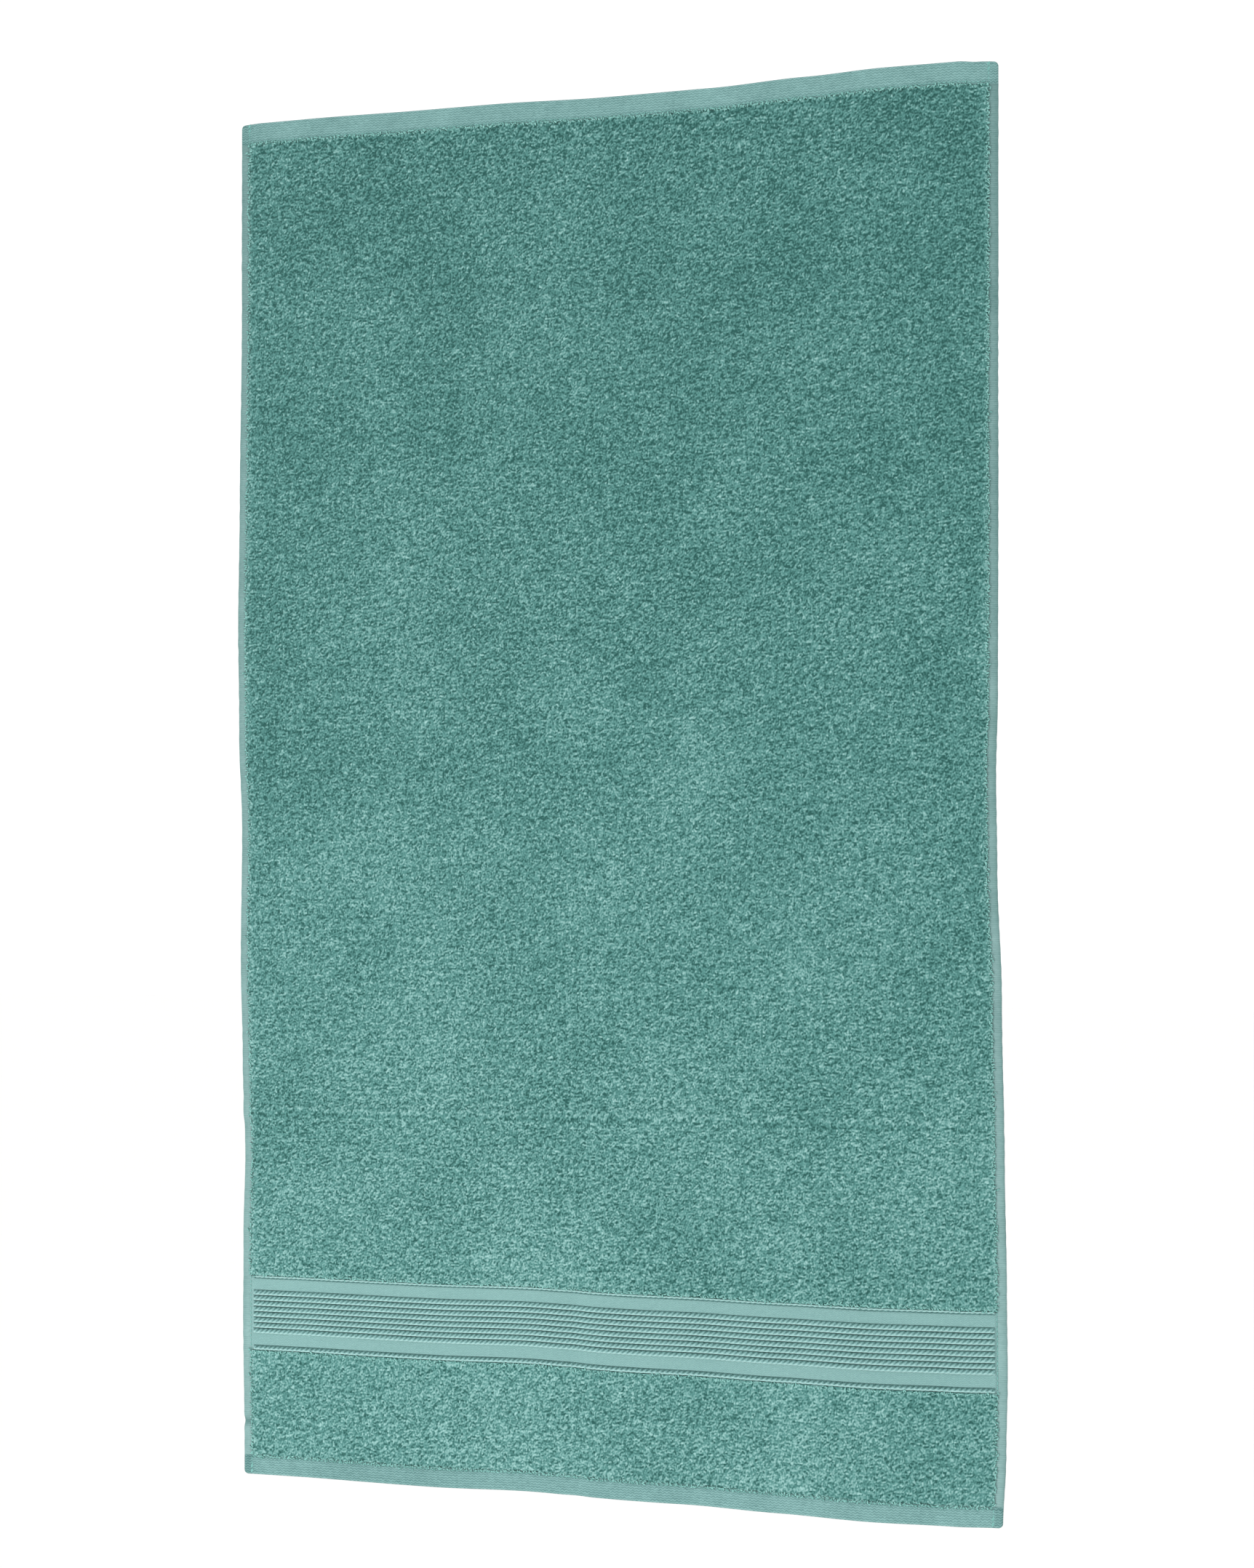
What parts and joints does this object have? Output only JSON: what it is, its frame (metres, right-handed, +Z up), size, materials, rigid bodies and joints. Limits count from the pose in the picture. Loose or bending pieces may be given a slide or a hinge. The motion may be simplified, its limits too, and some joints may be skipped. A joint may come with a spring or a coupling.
{
  "type": "terry hand towel",
  "caption": "Terry hand towel that hangs by its top hem, with a ribbed woven border near its lower end, and folds up along a crease across it.",
  "frame": {"origin": "on the back of the top hem, in the middle of the flat strip between its rolled edge and its stitches", "axes": "+Z up towards the top edge, -Y out of the front face, +Y out of the back, +X to the towel's right as seen from its front"},
  "size_m": [0.5, 0.005, 0.9],
  "materials": {
    "terry_pile": "sea-green cotton terry loops, soft and matt",
    "ground_weave": "plain-woven cotton ground, matt",
    "border_weave": "flat herringbone weave, faint sheen",
    "border_cord": "raised twisted weft cord, faint sheen",
    "hem_weave": "folded flat-woven hem, matt",
    "selvedge_weave": "ribbed flat-woven side hem, matt",
    "sewing_thread": "spun polyester thread, slight sheen"
  },
  "bodies": {
    "towel_body": {"top_hem": "hem_weave", "top_hem_stitches": "sewing_thread", "backtacks_top": "sewing_thread", "ground_cloth_upper": "ground_weave", "front_pile_upper": "terry_pile", "back_pile_upper": "terry_pile", "side_hem_left_upper": "selvedge_weave", "side_hem_right_upper": "selvedge_weave", "side_stitches_left_upper": "sewing_thread", "side_stitches_right_upper": "sewing_thread"},
    "lower_end": {"ground_cloth_lower": "ground_weave", "front_pile_lower": "terry_pile", "back_pile_lower": "terry_pile", "border_band": "border_weave", "border_top_cord": "border_cord", "border_ribs": "border_cord", "border_bottom_cord": "border_cord", "ground_cloth_end": "ground_weave", "front_pile_end": "terry_pile", "back_pile_end": "terry_pile", "bottom_hem": "hem_weave", "bottom_hem_stitches": "sewing_thread", "backtacks_bottom": "sewing_thread", "side_hem_left_lower": "selvedge_weave", "side_hem_right_lower": "selvedge_weave", "side_stitches_left_lower": "sewing_thread", "side_stitches_right_lower": "sewing_thread"}
  },
  "joints": [
    {"name": "lower_fold", "type": "hinge", "parent": "towel_body", "child": "lower_end", "pos_m": [0, -0.01, -0.64812], "axis": [-1, 0, 0], "range_deg": [0, 175]}
  ]
}
